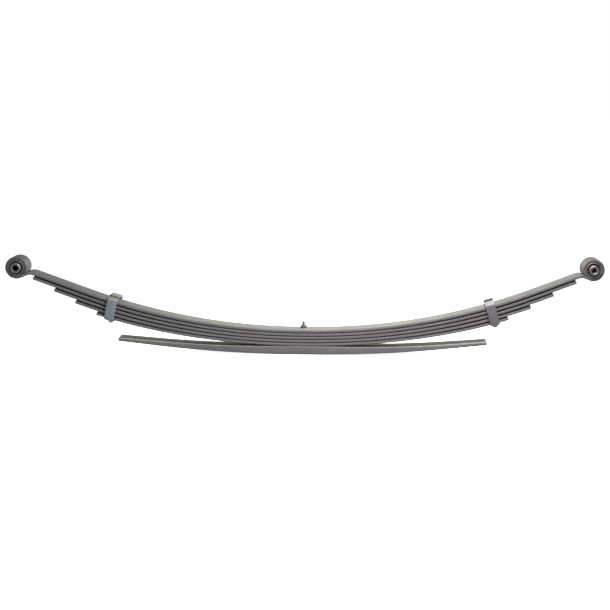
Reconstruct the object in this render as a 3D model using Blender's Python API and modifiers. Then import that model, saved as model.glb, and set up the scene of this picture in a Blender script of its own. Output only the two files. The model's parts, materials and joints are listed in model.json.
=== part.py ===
"""Semi-elliptic rear leaf spring of a light truck: five graded leaves over one thick tapered helper leaf.

The frame: X runs along the spring (-X is the front eye, +X the rear eye), Y across the leaves, Z up.
The origin is on the centre bolt's axis, level with the helper leaf's underside, which sits on the axle.

Each graded leaf is one strip of steel that bends. Here it is three rigid lengths: a centre that is clamped to
the axle and two arms, which turn about flex lines a third of the way out. The arms of one side turn together,
and each one has its own flex line on its own mid-surface, so the leaves slide along each other as they do in a
real pack.
"""

import math

import bmesh
import bpy
from mathutils import Matrix, Vector

# Leaf stock
LEAF_WIDTH = 0.0635
LEAF_THICKNESS = 0.0084
EDGE_ROUNDING = 0.0036
FIT_GAP = 0.0003
TIP_GAP = 0.0024
GAP_GROWS_FROM = 0.040
GAP_GROWS_TO = 0.620

# Camber of the main leaf's centre line
SEAT_HALF_LENGTH = 0.014
CAMBER_RADIUS = 1.686
FLEX_STATION = 0.230
FLEX_CUT = 0.0010
STATION_STEP = 0.030

GRADED_LEAVES = ("main_leaf", "second_leaf", "third_leaf", "fourth_leaf", "fifth_leaf")

# Rolled eyes
EYE_BORE_RADIUS = 0.0208
EYE_ENTRY_ANGLE = math.radians(22)
EYE_SLOT = 0.0008
EYE_STEP = math.radians(15)
GOOSENECK_RADIUS = 0.030
GOOSENECK_STEPS = 5

# Helper leaf
HELPER_CENTRE_THICKNESS = 0.0230
HELPER_TIP_THICKNESS = 0.0084
HELPER_FULL_THICKNESS_TO = 0.045
HELPER_FLAT_TO = 0.020
HELPER_CAMBER_RADIUS = 3.45
HELPER_STRAIGHT_FROM = 0.400
HELPER_STEPS = 8

# Centre bolt, 3/8 inch, and its nut
BOLT_RADIUS = 0.00475
BOLT_HEAD_RADIUS = 0.0080
BOLT_HEAD_HEIGHT = 0.0085
BOLT_HEAD_RECESS = 0.0005
BOLT_ABOVE_NUT = 0.0105
BOLT_CHAMFER = 0.0012
NUT_ACROSS_FLATS = 0.0143
NUT_HEIGHT = 0.0083
NUT_CHAMFER = 0.0009
SPOT_FACE_RADIUS = 0.0092
SPOT_FACE_DEPTH = 0.0003

# Rebound clips and their rivets
CLIP_LENGTH = 0.025
CLIP_THICKNESS = 0.0045
CLIP_SIDE_CLEARANCE = 0.0008
CLIP_BEND_RADIUS = 0.0052
CLIP_LOW_FOLD_RISE = 0.0016
CLIP_FOLD_CLEARANCE = 0.0005
CLIP_FOLD_OVERLAP = 0.006
RIVET_SHANK_RADIUS = 0.0040
RIVET_HEAD_RADIUS = 0.0068
RIVET_HEAD_HEIGHT = 0.0095
RIVET_DOME_HEIGHT = 0.0045
RIVET_DOME_STEPS = 4

# Anti-friction pads at the leaf tips
PAD_INSET = 0.026
PAD_RADIUS = 0.0110
PAD_THICKNESS = 0.0016
PAD_STUD_RADIUS = 0.0040
PAD_STUD_LENGTH = 0.0078

# Eye bushings: outer can, rubber ring and inner sleeve
CAN_OUTER_RADIUS = 0.0203
CAN_BORE_RADIUS = 0.0179
CAN_LENGTH = 0.0645
RUBBER_OUTER_RADIUS = 0.0174
RUBBER_BORE_RADIUS = 0.0138
RUBBER_LENGTH = 0.0575
SLEEVE_OUTER_RADIUS = 0.0133
SLEEVE_BORE_RADIUS = 0.0072
SLEEVE_LENGTH = 0.0855
SLEEVE_CHAMFER = 0.0012
ROUND_STEPS = 24

PITCH_AT_SEAT = LEAF_THICKNESS + FIT_GAP
MAIN_LEAF_Z = HELPER_CENTRE_THICKNESS + len(GRADED_LEAVES) * PITCH_AT_SEAT - LEAF_THICKNESS / 2
CENTRE_RADIUS = CAMBER_RADIUS - LEAF_THICKNESS / 2
MAIN_TOP_Z = MAIN_LEAF_Z + LEAF_THICKNESS / 2
NUT_UNDER_Z = MAIN_TOP_Z - SPOT_FACE_DEPTH + FIT_GAP


class Side:
    """One half of the spring: its eye, the slope the leaves end at, and where its leaf tips and its clip are.

    Reaches are level distances from the centre bolt's axis. The clip's station is a distance along the main
    leaf, its lean is how far its sides slant outward as they rise, its skew how far it slants outward towards
    +Y, and its seam where across the leaf its two folds overlap.
    """

    def __init__(self, name, sign, end_angle, eye, second_leaf_reach, reach_step, helper_reach,
                 clip_station, clip_lean, clip_skew, clip_seam):
        self.name = name
        self.sign = sign
        self.end_angle = end_angle
        self.eye = Vector(eye)
        self.second_leaf_reach = second_leaf_reach
        self.reach_step = reach_step
        self.helper_reach = helper_reach
        self.clip_station = clip_station
        self.clip_lean = clip_lean
        self.clip_skew = clip_skew
        self.clip_seam = clip_seam

    def world(self, point, y=0.0):
        """A point (outward, up) of this half, in the spring's frame."""
        return Vector((self.sign * point.x, y, point.y))


SIDES = (
    Side("front", -1, end_angle=math.radians(19.6), eye=(0.7589, 0.2238), second_leaf_reach=0.7163,
         reach_step=0.0555, helper_reach=0.4925, clip_station=0.507, clip_lean=0.10,
         clip_skew=-0.075, clip_seam=-0.013),
    Side("rear", 1, end_angle=math.radians(21.0), eye=(0.7629, 0.2334), second_leaf_reach=0.7196,
         reach_step=0.0588, helper_reach=0.4875, clip_station=0.5015, clip_lean=0.0,
         clip_skew=0.030, clip_seam=0.021),
)


# Scene and materials


def clear_scene():
    for obj in list(bpy.data.objects):
        bpy.data.objects.remove(obj, do_unlink=True)


def new_collection(name, hidden=False):
    collection = bpy.data.collections.new(name)
    bpy.context.scene.collection.children.link(collection)
    collection.hide_render = hidden
    return collection


def new_material(name, colour, roughness, metallic):
    material = bpy.data.materials.new(name)
    material.use_nodes = True
    shader = material.node_tree.nodes["Principled BSDF"]
    shader.inputs["Base Color"].default_value = (*colour, 1.0)
    shader.inputs["Roughness"].default_value = roughness
    shader.inputs["Metallic"].default_value = metallic
    material.diffuse_color = (*colour, 1.0)
    return material


# Modelling helpers


def add_object(name, mesh, material, collection, matrix):
    obj = bpy.data.objects.new(name, mesh)
    obj.matrix_world = matrix
    if material:
        mesh.materials.append(material)
    collection.objects.link(obj)
    return obj


def extruded(name, outline, half_depth, material, collection, matrix):
    """A flat outline, extruded both ways along the local Z of matrix, as a mesh with one face on each side."""
    curve = bpy.data.curves.new(name, "CURVE")
    curve.dimensions = "2D"
    curve.fill_mode = "BOTH"
    curve.extrude = half_depth
    spline = curve.splines.new("POLY")
    spline.points.add(len(outline) - 1)
    for point, place in zip(spline.points, outline):
        point.co = (place.x, place.y, 0.0, 1.0)
    spline.use_cyclic_u = True
    source = bpy.data.objects.new(name + "_outline", curve)
    bpy.context.scene.collection.objects.link(source)
    graph = bpy.context.evaluated_depsgraph_get()
    mesh = bpy.data.meshes.new_from_object(source.evaluated_get(graph))
    bpy.data.objects.remove(source, do_unlink=True)
    mesh.materials.clear()
    mesh.name = name
    join_caps(mesh)
    return add_object(name, mesh, material, collection, matrix)


def join_caps(mesh):
    """Welds a filled curve's loose caps to its walls, and makes each cap one face."""
    shape = bmesh.new()
    shape.from_mesh(mesh)
    bmesh.ops.remove_doubles(shape, verts=shape.verts, dist=1e-6)
    flat = [face for face in shape.faces if abs(face.normal.z) > 0.999]
    inner = [edge for edge in shape.edges if all(face in flat for face in edge.link_faces)]
    bmesh.ops.dissolve_edges(shape, edges=inner, use_verts=False)
    bmesh.ops.recalc_face_normals(shape, faces=shape.faces)
    shape.to_mesh(mesh)
    shape.free()


def turned(name, profile, material, collection, matrix, closed=False):
    """A profile of (radius, height) points, turned about the local Z of matrix."""
    mesh = bpy.data.meshes.new(name)
    shape = bmesh.new()
    points = [shape.verts.new((radius, 0.0, height)) for radius, height in profile]
    followers = points[1:] + points[:1] if closed else points[1:]
    for start, end in zip(points, followers):
        shape.edges.new((start, end))
    shape.to_mesh(mesh)
    shape.free()
    obj = add_object(name, mesh, material, collection, matrix)
    screw = obj.modifiers.new("turn", "SCREW")
    screw.steps = ROUND_STEPS
    screw.render_steps = ROUND_STEPS
    screw.use_merge_vertices = True
    screw.merge_threshold = 1e-5
    return obj


def ring_profile(outer, bore, length, chamfer=0.0):
    """Half section of a ring centred on its own middle, with chamfered rims."""
    half = length / 2
    if not chamfer:
        return [(outer, half), (outer, -half), (bore, -half), (bore, half)]
    return [
        (outer - chamfer, half),
        (outer, half - chamfer),
        (outer, chamfer - half),
        (outer - chamfer, -half),
        (bore + chamfer, -half),
        (bore, chamfer - half),
        (bore, half - chamfer),
        (bore + chamfer, half),
    ]


def round_edges(obj, width, segments=2):
    bevel = obj.modifiers.new("rounded_edges", "BEVEL")
    bevel.width = width
    bevel.segments = segments
    bevel.limit_method = "ANGLE"
    bevel.angle_limit = math.radians(50)


def cut(obj, cutter, operation="DIFFERENCE"):
    boolean = obj.modifiers.new(cutter.name, "BOOLEAN")
    boolean.operation = operation
    boolean.solver = "EXACT"
    boolean.object = cutter


def drill(name, radius, half_length, matrix, cutters):
    """A round cutter along the local Z of matrix."""
    profile = [(0.0, half_length), (radius, half_length), (radius, -half_length), (0.0, -half_length)]
    cutter = turned(name, profile, None, cutters, matrix)
    cutter.display_type = "WIRE"
    cutter.hide_render = True
    return cutter


def attach(obj, parent):
    """Makes parent carry obj without moving it."""
    obj.parent = parent
    obj.matrix_parent_inverse = parent.matrix_world.inverted()


def joint_empty(name, place, collection, parent=None):
    empty = bpy.data.objects.new(name, None)
    empty.empty_display_size = 0.04
    empty.matrix_world = Matrix.Translation(place)
    collection.objects.link(empty)
    bpy.context.view_layer.update()
    if parent:
        attach(empty, parent)
        bpy.context.view_layer.update()
    return empty


# Shape of the leaves


def interleaf_gap(station):
    """The leaves touch under the clamp and stand apart on their pads towards the tips."""
    share = (station - GAP_GROWS_FROM) / (GAP_GROWS_TO - GAP_GROWS_FROM)
    share = min(max(share, 0.0), 1.0)
    return FIT_GAP + (TIP_GAP - FIT_GAP) * share * share * (3 - 2 * share)


def camber(side, station):
    """Centre line of the main leaf at a distance along it: the point (outward, up) and the slope there."""
    slope = min(max(station - SEAT_HALF_LENGTH, 0.0) / CENTRE_RADIUS, side.end_angle)
    straight = max(station - SEAT_HALF_LENGTH - CENTRE_RADIUS * side.end_angle, 0.0)
    outward = min(station, SEAT_HALF_LENGTH) + CENTRE_RADIUS * math.sin(slope) + straight * math.cos(slope)
    up = MAIN_LEAF_Z + CENTRE_RADIUS * (1 - math.cos(slope)) + straight * math.sin(slope)
    return Vector((outward, up)), slope


def normal(slope):
    return Vector((-math.sin(slope), math.cos(slope)))


def leaf_point(side, number, station, rise=0.0):
    """A point of graded leaf number (0 is the main leaf), rise above its mid-surface."""
    centre, slope = camber(side, station)
    drop = number * (LEAF_THICKNESS + interleaf_gap(station))
    return centre + normal(slope) * (rise - drop)


def station_at(side, number, reach):
    """The station at which a leaf's mid-surface is reach away from the bolt's axis."""
    low = 0.0
    high = 1.2 * reach
    while high - low > 1e-6:
        middle = (low + high) / 2
        if leaf_point(side, number, middle).x < reach:
            low = middle
        else:
            high = middle
    return low


def stations_between(start, end):
    """Start and end with the shared stations between them, so that stacked leaves have matching facets."""
    shared = [step * STATION_STEP for step in range(1, int(end / STATION_STEP) + 1)]
    return [start] + [place for place in shared if start + 0.004 < place < end - 0.004] + [end]


def side_frame(side, point, slope):
    """Frame on a leaf: X outward along the leaf, Y across the spring, Z square to the leaf."""
    place = side.world(point)
    turn = Matrix.Rotation(-side.sign * slope, 4, "Y")
    face = Matrix.Rotation(0.0 if side.sign > 0 else math.pi, 4, "Z")
    return Matrix.Translation(place) @ turn @ face


def outline_matrix(origin):
    """Takes an outline drawn as (x, z) about origin, and its depth, into the spring's frame."""
    return Matrix.Translation(origin) @ Matrix.Rotation(math.pi / 2, 4, "X")


def strip_outline(tops, bottoms, origin):
    """Closed outline through the upper points and back through the lower ones, about origin."""
    offset = Vector((origin.x, origin.z))
    return [Vector((point.x, point.z)) - offset for point in tops + bottoms[::-1]]


def arm_end_station(side, number):
    reach = side.second_leaf_reach - (number - 1) * side.reach_step
    return station_at(side, number, reach)


def plain_arm_points(side, number):
    """Upper and lower points of an arm of the second to fifth leaf."""
    stations = stations_between(FLEX_STATION + FLEX_CUT / 2, arm_end_station(side, number))
    half = LEAF_THICKNESS / 2
    tops = [side.world(leaf_point(side, number, station, half)) for station in stations]
    bottoms = [side.world(leaf_point(side, number, station, -half)) for station in stations]
    return tops, bottoms


def eye_arm_points(side):
    """Upper and lower points of a main leaf arm: camber, gooseneck bend and the eye rolled up over the leaf."""
    half = LEAF_THICKNESS / 2
    eye_radius = EYE_BORE_RADIUS + half
    run_in = Vector((math.cos(side.end_angle), math.sin(side.end_angle)))
    run_out = Vector((math.cos(EYE_ENTRY_ANGLE), -math.sin(EYE_ENTRY_ANGLE)))
    entry_normal = Vector((-math.sin(EYE_ENTRY_ANGLE), -math.cos(EYE_ENTRY_ANGLE)))
    entry = side.eye + entry_normal * eye_radius
    straight_from = SEAT_HALF_LENGTH + CENTRE_RADIUS * side.end_angle
    start, _ = camber(side, straight_from)
    # Where the straight end of the camber meets the tangent that runs into the eye
    gap = entry - start
    along = (gap.x * run_out.y - gap.y * run_out.x) / (run_in.x * run_out.y - run_in.y * run_out.x)
    turn = side.end_angle + EYE_ENTRY_ANGLE
    trim = GOOSENECK_RADIUS * math.tan(turn / 2)
    bend_centre = start + run_in * (along - trim) - normal(side.end_angle) * GOOSENECK_RADIUS

    stations = stations_between(FLEX_STATION + FLEX_CUT / 2, straight_from + along - trim)[:-1]
    tops = [leaf_point(side, 0, station, half) for station in stations]
    bottoms = [leaf_point(side, 0, station, -half) for station in stations]
    for step in range(GOOSENECK_STEPS + 1):
        slope = side.end_angle - turn * step / GOOSENECK_STEPS
        tops.append(bend_centre + normal(slope) * (GOOSENECK_RADIUS + half))
        bottoms.append(bend_centre + normal(slope) * (GOOSENECK_RADIUS - half))

    # The roll's end is trimmed parallel to the leaf, so that it closes down on it
    first = -math.pi / 2 - EYE_ENTRY_ANGLE
    reach = EYE_BORE_RADIUS - EYE_SLOT
    for points, radius in ((tops, EYE_BORE_RADIUS), (bottoms, EYE_BORE_RADIUS + LEAF_THICKNESS)):
        last = first + 2 * math.pi - math.acos(reach / radius)
        steps = math.ceil((last - first) / EYE_STEP)
        for step in range(steps + 1):
            angle = first + (last - first) * step / steps
            points.append(side.eye + Vector((math.cos(angle), math.sin(angle))) * radius)
    return [side.world(point) for point in tops], [side.world(point) for point in bottoms]


def flex_point(side, number):
    return side.world(leaf_point(side, number, FLEX_STATION))


# Sub-parts


def leaf_centre(number, steel, parts, cutters):
    """The clamped middle of a graded leaf, drilled for the centre bolt."""
    front, rear = SIDES
    stations = stations_between(0.0, FLEX_STATION - FLEX_CUT / 2)
    half = LEAF_THICKNESS / 2
    rows = []
    for rise in (half, -half):
        left = [front.world(leaf_point(front, number, station, rise)) for station in stations[:0:-1]]
        right = [rear.world(leaf_point(rear, number, station, rise)) for station in stations[1:]]
        rows.append(left + right)
    origin = Vector((0.0, 0.0, MAIN_LEAF_Z - number * PITCH_AT_SEAT))
    outline = strip_outline(rows[0], rows[1], origin)
    name = GRADED_LEAVES[number] + "_centre"
    leaf = extruded(name, outline, LEAF_WIDTH / 2, steel, parts, outline_matrix(origin))
    round_edges(leaf, EDGE_ROUNDING)
    radius = BOLT_RADIUS + FIT_GAP
    cut(leaf, drill(name + "_bolt_hole", radius, LEAF_THICKNESS, Matrix.Translation(origin), cutters))
    if number == 0:
        top = Matrix.Translation((0.0, 0.0, MAIN_TOP_Z))
        cut(leaf, drill("nut_spot_face", SPOT_FACE_RADIUS, SPOT_FACE_DEPTH, top, cutters))


def leaf_arm(side, number, steel, parts, cutters, pivot):
    """One arm of a graded leaf, with its origin on its flex line."""
    tops, bottoms = plain_arm_points(side, number) if number else eye_arm_points(side)
    origin = flex_point(side, number)
    name = f"{GRADED_LEAVES[number]}_{side.name}_arm"
    outline = strip_outline(tops, bottoms, origin)
    arm = extruded(name, outline, LEAF_WIDTH / 2, steel, parts, outline_matrix(origin))
    round_edges(arm, EDGE_ROUNDING)
    if number:
        radius = PAD_STUD_RADIUS + FIT_GAP
        cut(arm, drill(name + "_stud_hole", radius, LEAF_THICKNESS, pad_frame(side, number), cutters))
    if number == len(GRADED_LEAVES) - 1:
        radius = RIVET_SHANK_RADIUS + FIT_GAP
        cut(arm, drill(name + "_rivet_hole", radius, LEAF_THICKNESS, clip_frame(side, number), cutters))
    attach(arm, pivot)


def helper_half(side):
    """Upper and lower points of one half of the helper leaf, from its flat seat out to its tip."""
    tops = [side.world(Vector((HELPER_FULL_THICKNESS_TO, HELPER_CENTRE_THICKNESS)))]
    bottoms = [side.world(Vector((HELPER_FLAT_TO, 0.0)))]
    for step in range(1, HELPER_STEPS + 1):
        reach = side.helper_reach * step / HELPER_STEPS
        bent = min(reach, HELPER_STRAIGHT_FROM)
        slope = math.asin((bent - HELPER_FLAT_TO) / HELPER_CAMBER_RADIUS)
        rise = HELPER_CAMBER_RADIUS * (1 - math.cos(slope)) + (reach - bent) * math.tan(slope)
        under = Vector((reach, rise))
        share = (reach - HELPER_FULL_THICKNESS_TO) / (side.helper_reach - HELPER_FULL_THICKNESS_TO)
        thickness = HELPER_CENTRE_THICKNESS + (HELPER_TIP_THICKNESS - HELPER_CENTRE_THICKNESS) * share
        bottoms.append(side.world(under))
        tops.append(side.world(under + normal(slope) * thickness))
    return tops, bottoms


def helper_leaf(steel, parts, cutters):
    """Thick leaf on the axle seat, tapering to its square-cut tips."""
    front, rear = SIDES
    front_tops, front_bottoms = helper_half(front)
    rear_tops, rear_bottoms = helper_half(rear)
    outline = strip_outline(front_tops[::-1] + rear_tops, front_bottoms[::-1] + rear_bottoms, Vector())
    leaf = extruded("helper_leaf", outline, LEAF_WIDTH / 2, steel, parts, outline_matrix(Vector()))
    round_edges(leaf, EDGE_ROUNDING)
    radius = BOLT_RADIUS + FIT_GAP
    cut(leaf, drill("helper_bolt_hole", radius, 2 * HELPER_CENTRE_THICKNESS, Matrix(), cutters))
    radius = BOLT_HEAD_RADIUS + 2 * FIT_GAP
    depth = BOLT_HEAD_RECESS + BOLT_HEAD_HEIGHT + FIT_GAP
    cut(leaf, drill("helper_head_counterbore", radius, depth, Matrix(), cutters))


def centre_bolt(steel, parts):
    """Bolt that pins the pack together, its round head in the helper's counterbore and its end above the nut."""
    head_top = BOLT_HEAD_RECESS + BOLT_HEAD_HEIGHT
    end = NUT_UNDER_Z + NUT_HEIGHT + BOLT_ABOVE_NUT
    profile = [
        (0.0, end),
        (BOLT_RADIUS - BOLT_CHAMFER, end),
        (BOLT_RADIUS, end - BOLT_CHAMFER),
        (BOLT_RADIUS, head_top),
        (BOLT_HEAD_RADIUS, head_top),
        (BOLT_HEAD_RADIUS, BOLT_HEAD_RECESS),
        (0.0, BOLT_HEAD_RECESS),
    ]
    turned("centre_bolt", profile, steel, parts, Matrix())


def centre_bolt_nut(steel, parts, cutters):
    """Hexagon nut with chamfered corners on top of the main leaf, two of its flats along the spring."""
    place = Matrix.Translation((0.0, 0.0, NUT_UNDER_Z + NUT_HEIGHT / 2)) @ Matrix.Rotation(math.pi / 6, 4, "Z")
    mesh = bpy.data.meshes.new("centre_bolt_nut")
    shape = bmesh.new()
    corner = NUT_ACROSS_FLATS / math.sqrt(3)
    bmesh.ops.create_cone(shape, cap_ends=True, segments=6, radius1=corner, radius2=corner, depth=NUT_HEIGHT)
    shape.to_mesh(mesh)
    shape.free()
    nut = add_object("centre_bolt_nut", mesh, steel, parts, place)
    half = NUT_HEIGHT / 2
    rim = corner - 1.7 * NUT_CHAMFER
    barrel = turned(
        "nut_chamfer",
        [(0.0, half), (rim, half), (corner + NUT_CHAMFER, half - 1.5 * NUT_CHAMFER),
         (corner + NUT_CHAMFER, 1.5 * NUT_CHAMFER - half), (rim, -half), (0.0, -half)],
        None, cutters, place,
    )
    barrel.display_type = "WIRE"
    barrel.hide_render = True
    cut(nut, barrel, "INTERSECT")
    cut(nut, drill("nut_bore", BOLT_RADIUS + FIT_GAP, NUT_HEIGHT, place, cutters))


def pad_frame(side, number):
    station = arm_end_station(side, number) - PAD_INSET
    _, slope = camber(side, station)
    return side_frame(side, leaf_point(side, number, station), slope)


def tip_pad(side, number, plastic, parts, pivot):
    """Slide pad between a leaf's tip and the leaf above, located by a stud in the lower leaf."""
    under = LEAF_THICKNESS / 2 + FIT_GAP
    top = under + PAD_THICKNESS
    profile = [
        (0.0, top),
        (PAD_RADIUS, top),
        (PAD_RADIUS, under),
        (PAD_STUD_RADIUS, under),
        (PAD_STUD_RADIUS, under - PAD_STUD_LENGTH),
        (0.0, under - PAD_STUD_LENGTH),
    ]
    name = f"{GRADED_LEAVES[number]}_{side.name}_tip_pad"
    attach(turned(name, profile, plastic, parts, pad_frame(side, number)), pivot)


def clip_frame(side, number):
    _, slope = camber(side, side.clip_station)
    return side_frame(side, leaf_point(side, number, side.clip_station), slope)


def bend(corner, before, after, radius, steps=4):
    """Points of an arc that rounds a corner between the directions before and after."""
    half_turn = before.angle(after) / 2
    trim = radius * math.tan(half_turn)
    start = corner - before * trim
    side_step = (after - before * before.dot(after)).normalized()
    centre = start + side_step * radius
    points = []
    for step in range(steps + 1):
        angle = 2 * half_turn * step / steps
        points.append(centre - side_step * radius * math.cos(angle) + before * radius * math.sin(angle))
    return points


def clip_path(depth, seam):
    """Middle line of the strap in (across, up), seen along the leaf, from the low fold's end to the high fold's.

    Up is measured from the main leaf's top face. The strap runs under the fifth leaf, which is depth below that,
    and up both edges of the pack. Over the top the fold from the -Y edge lies low, and the other one over it.
    """
    half = CLIP_THICKNESS / 2
    wall = LEAF_WIDTH / 2 + CLIP_SIDE_CLEARANCE + half
    low = CLIP_LOW_FOLD_RISE + half
    high = low + CLIP_THICKNESS + CLIP_FOLD_CLEARANCE
    corners = [
        Vector((seam + CLIP_FOLD_OVERLAP / 2, low)),
        Vector((-wall, low)),
        Vector((-wall, -depth - FIT_GAP - half)),
        Vector((wall, -depth - FIT_GAP - half)),
        Vector((wall, high)),
        Vector((seam - CLIP_FOLD_OVERLAP / 2, high)),
    ]
    points = [corners[0]]
    for before, corner, after in zip(corners, corners[1:], corners[2:]):
        points += bend(corner, (corner - before).normalized(), (after - corner).normalized(), CLIP_BEND_RADIUS)
    return points + [corners[-1]]


def band_outline(path, thickness):
    """Closed outline of a band of even thickness along a path."""
    left = []
    right = []
    for index, point in enumerate(path):
        before = (point - path[index - 1]).normalized() if index else None
        after = (path[index + 1] - point).normalized() if index < len(path) - 1 else None
        along = ((before or after) + (after or before)).normalized()
        square = Vector((-along.y, along.x))
        stretch = 1 / along.dot(after or before)
        left.append(point + square * thickness / 2 * stretch)
        right.append(point - square * thickness / 2 * stretch)
    return left + right[::-1]


def rebound_clip(side, steel, parts, cutters, pivot):
    """Strap that keeps the leaves together on rebound, riveted under the fifth leaf."""
    last = len(GRADED_LEAVES) - 1
    frame = clip_frame(side, 0) @ Matrix.Translation((0.0, 0.0, LEAF_THICKNESS / 2))
    depth = last * interleaf_gap(side.clip_station) + (last + 1) * LEAF_THICKNESS
    # The outline's own axes are (across, up), and it is extruded along the leaf
    turn = Matrix(((0, 0, side.sign, 0), (side.sign, 0, 0, 0), (0, 1, 0, 0), (0, 0, 0, 1)))
    name = side.name + "_rebound_clip"
    outline = band_outline(clip_path(depth, side.clip_seam), CLIP_THICKNESS)
    clip = extruded(name, outline, CLIP_LENGTH / 2, steel, parts, frame @ turn)
    lean = side.sign * side.clip_lean
    skew = side.sign * side.clip_skew
    slant = Matrix(((1, 0, 0, 0), (0, 1, 0, 0), (skew, lean, 1, lean * depth), (0, 0, 0, 1)))
    clip.data.transform(slant)
    place = clip_frame(side, last) @ Matrix.Translation((0.0, 0.0, -LEAF_THICKNESS))
    radius = RIVET_SHANK_RADIUS + FIT_GAP
    cut(clip, drill(name + "_rivet_hole", radius, 1.5 * CLIP_THICKNESS, place, cutters))
    attach(clip, pivot)


def clip_rivet(side, steel, parts, pivot):
    """Round-headed rivet up through the clip and the fifth leaf, its upper end flush with the leaf."""
    under = -LEAF_THICKNESS / 2 - 2 * FIT_GAP - CLIP_THICKNESS
    top = LEAF_THICKNESS / 2 - FIT_GAP
    dome = under - RIVET_HEAD_HEIGHT + RIVET_DOME_HEIGHT
    profile = [(0.0, top), (RIVET_SHANK_RADIUS, top), (RIVET_SHANK_RADIUS, under), (RIVET_HEAD_RADIUS, under)]
    for step in range(RIVET_DOME_STEPS):
        angle = math.pi / 2 * step / RIVET_DOME_STEPS
        profile.append((RIVET_HEAD_RADIUS * math.cos(angle), dome - RIVET_DOME_HEIGHT * math.sin(angle)))
    profile.append((0.0, dome - RIVET_DOME_HEIGHT))
    frame = clip_frame(side, len(GRADED_LEAVES) - 1)
    attach(turned(side.name + "_clip_rivet", profile, steel, parts, frame), pivot)


def eye_bushing(side, steel, rubber, sleeve_steel, parts, arm_pivot, joints):
    """Bonded bushing: the can is pressed into the eye, and the inner sleeve turns against the rubber."""
    centre = side.world(side.eye)
    across = Matrix.Translation(centre) @ Matrix.Rotation(math.pi / 2, 4, "X")
    name = side.name + "_bushing_"
    can = ring_profile(CAN_OUTER_RADIUS, CAN_BORE_RADIUS, CAN_LENGTH)
    attach(turned(name + "can", can, steel, parts, across, closed=True), arm_pivot)
    ring = ring_profile(RUBBER_OUTER_RADIUS, RUBBER_BORE_RADIUS, RUBBER_LENGTH)
    attach(turned(name + "rubber", ring, rubber, parts, across, closed=True), arm_pivot)
    turning = joint_empty(side.name + "_sleeve_axis", centre, joints, arm_pivot)
    sleeve = ring_profile(SLEEVE_OUTER_RADIUS, SLEEVE_BORE_RADIUS, SLEEVE_LENGTH, SLEEVE_CHAMFER)
    attach(turned(name + "sleeve", sleeve, sleeve_steel, parts, across, closed=True), turning)


def shade(parts):
    for obj in parts.objects:
        if obj.type == "MESH":
            obj.data.shade_smooth()
            obj.data.set_sharp_from_angle(angle=math.radians(35))


def main():
    clear_scene()
    parts = new_collection("leaf_spring")
    joints = new_collection("leaf_spring_joints")
    cutters = new_collection("leaf_spring_cutters", hidden=True)
    painted = new_material("painted_spring_steel", (0.235, 0.225, 0.225), 0.48, 0.25)
    clip_steel = new_material("clip_steel", (0.215, 0.235, 0.262), 0.42, 0.35)
    dark_steel = new_material("dark_fastener_steel", (0.085, 0.085, 0.085), 0.45, 0.60)
    bushing_steel = new_material("bushing_steel", (0.36, 0.33, 0.33), 0.35, 0.80)
    rubber = new_material("bushing_rubber", (0.016, 0.015, 0.015), 0.70, 0.0)
    plastic = new_material("pad_plastic", (0.075, 0.072, 0.070), 0.55, 0.0)

    helper_leaf(painted, parts, cutters)
    centre_bolt(dark_steel, parts)
    centre_bolt_nut(dark_steel, parts, cutters)
    for number, leaf in enumerate(GRADED_LEAVES):
        leaf_centre(number, painted, parts, cutters)
        for side in SIDES:
            pivot = joint_empty(f"{leaf}_{side.name}_flex", flex_point(side, number), joints)
            leaf_arm(side, number, painted, parts, cutters, pivot)
            if number:
                tip_pad(side, number, plastic, parts, pivot)
            else:
                eye_bushing(side, bushing_steel, rubber, bushing_steel, parts, pivot, joints)
            if number == len(GRADED_LEAVES) - 1:
                rebound_clip(side, clip_steel, parts, cutters, pivot)
                clip_rivet(side, clip_steel, parts, pivot)
    shade(parts)


main()
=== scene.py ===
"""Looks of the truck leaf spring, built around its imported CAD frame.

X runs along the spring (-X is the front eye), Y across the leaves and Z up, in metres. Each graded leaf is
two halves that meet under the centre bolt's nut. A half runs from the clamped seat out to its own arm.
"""

import json
import math

import bmesh
import bpy
from mathutils import Matrix, Vector


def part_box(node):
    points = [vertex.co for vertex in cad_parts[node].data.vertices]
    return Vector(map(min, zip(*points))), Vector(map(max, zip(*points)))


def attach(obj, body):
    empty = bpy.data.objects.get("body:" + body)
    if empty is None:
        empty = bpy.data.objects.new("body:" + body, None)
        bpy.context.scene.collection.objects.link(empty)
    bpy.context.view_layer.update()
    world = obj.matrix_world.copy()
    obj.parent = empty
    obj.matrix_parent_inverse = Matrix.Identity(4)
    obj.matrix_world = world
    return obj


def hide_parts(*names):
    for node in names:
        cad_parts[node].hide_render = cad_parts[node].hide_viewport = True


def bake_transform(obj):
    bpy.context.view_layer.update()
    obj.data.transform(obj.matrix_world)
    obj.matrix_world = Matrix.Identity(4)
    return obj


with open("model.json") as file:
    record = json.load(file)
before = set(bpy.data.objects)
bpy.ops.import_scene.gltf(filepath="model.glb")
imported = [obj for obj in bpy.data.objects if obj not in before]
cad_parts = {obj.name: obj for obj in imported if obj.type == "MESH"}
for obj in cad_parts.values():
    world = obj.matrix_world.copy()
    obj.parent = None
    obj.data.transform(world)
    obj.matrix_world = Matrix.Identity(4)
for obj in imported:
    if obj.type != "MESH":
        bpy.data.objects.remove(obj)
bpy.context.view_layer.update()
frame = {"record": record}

# Places from the frame
JOINTS = {joint["name"]: Vector(joint["pos_m"]) for joint in frame["record"]["behaviour"]["joints"]}
LEAF_WIDTH = 2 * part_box("main_leaf_centre")[1].y
CAN_LENGTH = 2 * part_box("front_bushing_can")[1].y
RUBBER_LENGTH = 2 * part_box("front_bushing_rubber")[1].y
SLEEVE_LENGTH = 2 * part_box("front_bushing_sleeve")[1].y
BOLT_UNDER_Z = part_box("centre_bolt")[0].z
BOLT_END_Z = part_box("centre_bolt")[1].z
NUT_UNDER_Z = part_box("centre_bolt_nut")[0].z
NUT_TOP_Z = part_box("centre_bolt_nut")[1].z
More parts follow.
